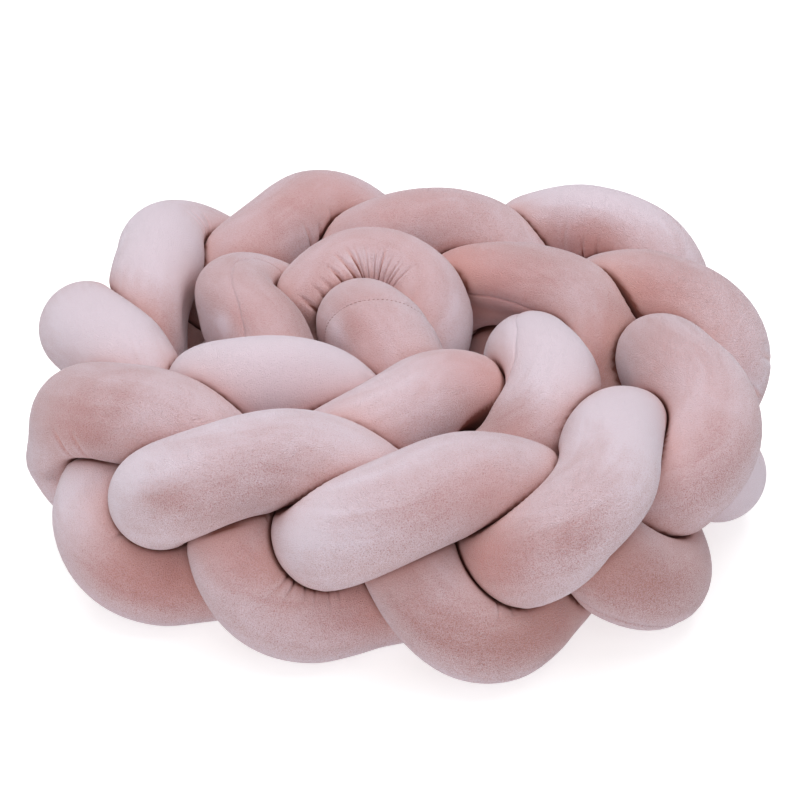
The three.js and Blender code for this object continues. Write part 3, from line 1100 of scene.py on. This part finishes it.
class BUMPER_OT_plait_strands(bpy.types.Operator):
    """Plait, settle and dress the three velvet strands"""

    bl_idname = "bumper.plait_strands"
    bl_label = "Plait strands"

    def execute(self, context):
        sizes = context.scene.braid_sizes
        settled = settled_strands(sizes)
        beads = fine_beads(settled)
        velvet = velvet_finish(context.scene.velvet_look)
        for strand, node in enumerate(STRAND_NODES):
            middle = StrandMiddle(strand, settled[strand])
            folds, ridge_highlights = folded(middle)
            radii = skin_radii(middle, beads, sizes) - folds - sewn(middle, sizes)
            mesh = strand_mesh(middle, radii, folds, ridge_highlights, beads, sizes)
            mesh.materials.append(velvet)
            piece = bpy.data.objects.new(node + "_velvet", mesh)
            context.scene.collection.objects.link(piece)
            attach(piece, "root")
            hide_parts(node)
        return {"FINISHED"}


class BUMPER_OT_sew_stitches(bpy.types.Operator):
    """Sew the stitches that show in the cross seams"""

    bl_idname = "bumper.sew_stitches"
    bl_label = "Sew stitches"

    def execute(self, context):
        sizes = context.scene.braid_sizes
        settled = settled_strands(sizes)
        beads = fine_beads(settled)
        thread = thread_finish(context.scene.velvet_look)
        for seam in CROSS_SEAMS:
            middle = StrandMiddle(seam.strand, settled[seam.strand])
            folds, _ = folded(middle)
            radii = skin_radii(middle, beads, sizes) - folds - sewn(middle, sizes)
            mesh = stitch_mesh(middle, radii, seam)
            mesh.materials.append(thread)
            stitches = bpy.data.objects.new(STRAND_NODES[seam.strand] + "_stitches", mesh)
            context.scene.collection.objects.link(stitches)
            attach(stitches, "root")
        return {"FINISHED"}


class BUMPER_OT_set_stage(bpy.types.Operator):
    """Set the braid on a plain pale floor, in soft light, before the camera"""

    bl_idname = "bumper.set_stage"
    bl_label = "Set stage"

    def execute(self, context):
        look = context.scene.stage_look
        scene = context.scene
        scene.view_settings.view_transform = "Standard"
        add_floor(scene)
        add_lights(scene)
        add_camera(scene, look)
        return {"FINISHED"}


FLOOR_HALF = 40.0
FLOOR_DROP = 0.0004  # so that the floor and the braid's underside don't share a plane
FLOOR_CORNERS = [(-1, -1), (1, -1), (1, 1), (-1, 1)]


def add_floor(scene):
    """A wide pale floor just under the braid."""
    corners = [(x * FLOOR_HALF, y * FLOOR_HALF, -FLOOR_DROP) for x, y in FLOOR_CORNERS]
    mesh = bpy.data.meshes.new("floor")
    mesh.from_pydata(corners, [], [(0, 1, 2, 3)])
    nodes = FinishNodes("pale_floor")
    surface = nodes.add(
        "ShaderNodeBsdfPrincipled",
        {},
        {
            "Base Color": (0.6, 0.6, 0.6, 1),
            "Roughness": 0.9,
            "Specular IOR Level": 0.1,
            "Emission Color": (1, 1, 1, 1),
            "Emission Strength": 0.6,
        },
    )
    nodes.add("ShaderNodeOutputMaterial", {}, {"Surface": surface})
    mesh.materials.append(nodes.material)
    floor = bpy.data.objects.new("floor", mesh)
    scene.collection.objects.link(floor)


SoftBox = namedtuple("SoftBox", "name place aim size power")
SOFT_BOXES = [
    SoftBox("top_light", (0.0, 0.2, 2.2), (0, 0, 0), 2.6, 52.5),
    SoftBox("front_light", (-0.3, -2.2, 1.6), (0, 0, 0.05), 2.0, 22.5),
    SoftBox("left_light", (-2.2, -0.4, 1.2), (0, 0, 0.05), 1.6, 1.5),
    SoftBox("right_light", (2.2, -0.1, 1.2), (0, 0, 0.05), 1.6, 2.5),
]
SURROUND_STRENGTH = 0.35


def add_lights(scene):
    """Large soft boxes above and around, and an even pale surround."""
    for box in SOFT_BOXES:
        light = bpy.data.lights.new(box.name, "AREA")
        light.shape = "SQUARE"
        light.size = box.size
        light.energy = box.power
        lamp = bpy.data.objects.new(box.name, light)
        lamp.location = box.place
        lamp.rotation_euler = (Vector(box.aim) - Vector(box.place)).to_track_quat("-Z", "Y").to_euler()
        scene.collection.objects.link(lamp)
    world = bpy.data.worlds.new("surround")
    world.use_nodes = True
    background = world.node_tree.nodes["Background"]
    background.inputs["Color"].default_value = (1, 1, 1, 1)
    background.inputs["Strength"].default_value = SURROUND_STRENGTH
    scene.world = world


CAMERA_PIVOT = Vector((-0.003, -0.064, 0.08))
SENSOR_WIDTH = 36
PICTURE_WIDTH = 800
PIVOT_BELOW_MIDDLE = 44  # pixels from the middle of the picture down to the pivot


def add_camera(scene, look):
    """The camera in front of the braid, looking down on it."""
    data = bpy.data.cameras.new("camera")
    data.sensor_width = SENSOR_WIDTH
    data.lens = look.lens
    lens_in_pixels = look.lens / SENSOR_WIDTH * PICTURE_WIDTH
    above_pivot = math.atan(PIVOT_BELOW_MIDDLE / lens_in_pixels)
    camera = bpy.data.objects.new("camera", data)
    back = Vector((0, -math.cos(look.camera_height), math.sin(look.camera_height)))
    camera.location = CAMERA_PIVOT + back * look.camera_distance
    camera.rotation_euler = (math.pi / 2 - look.camera_height + above_pivot, 0, 0)
    scene.collection.objects.link(camera)
    scene.camera = camera


class BUMPER_PT_panel(bpy.types.Panel):
    """Sizes, velvet and stage of the braided crib bumper"""

    bl_label = "Braided crib bumper"
    bl_idname = "BUMPER_PT_panel"
    bl_space_type = "VIEW_3D"
    bl_region_type = "UI"
    bl_category = "Bumper"

    def draw(self, context):
        for group in (context.scene.braid_sizes, context.scene.velvet_look, context.scene.stage_look):
            box = self.layout.box()
            for name in group.__annotations__:
                box.prop(group, name)
        self.layout.operator(BUMPER_OT_plait_strands.bl_idname)
        self.layout.operator(BUMPER_OT_sew_stitches.bl_idname)
        self.layout.operator(BUMPER_OT_set_stage.bl_idname)


CLASSES = (
    BraidSizes,
    VelvetLook,
    StageLook,
    BUMPER_OT_plait_strands,
    BUMPER_OT_sew_stitches,
    BUMPER_OT_set_stage,
    BUMPER_PT_panel,
)


def register():
    for kind in CLASSES:
        bpy.utils.register_class(kind)
    bpy.types.Scene.braid_sizes = bpy.props.PointerProperty(type=BraidSizes)
    bpy.types.Scene.velvet_look = bpy.props.PointerProperty(type=VelvetLook)
    bpy.types.Scene.stage_look = bpy.props.PointerProperty(type=StageLook)


def unregister():
    del bpy.types.Scene.stage_look
    del bpy.types.Scene.velvet_look
    del bpy.types.Scene.braid_sizes
    for kind in reversed(CLASSES):
        bpy.utils.unregister_class(kind)


def main():
    register()
    bpy.ops.bumper.plait_strands()
    bpy.ops.bumper.sew_stitches()
    bpy.ops.bumper.set_stage()


if __name__ == "__main__":
    main()
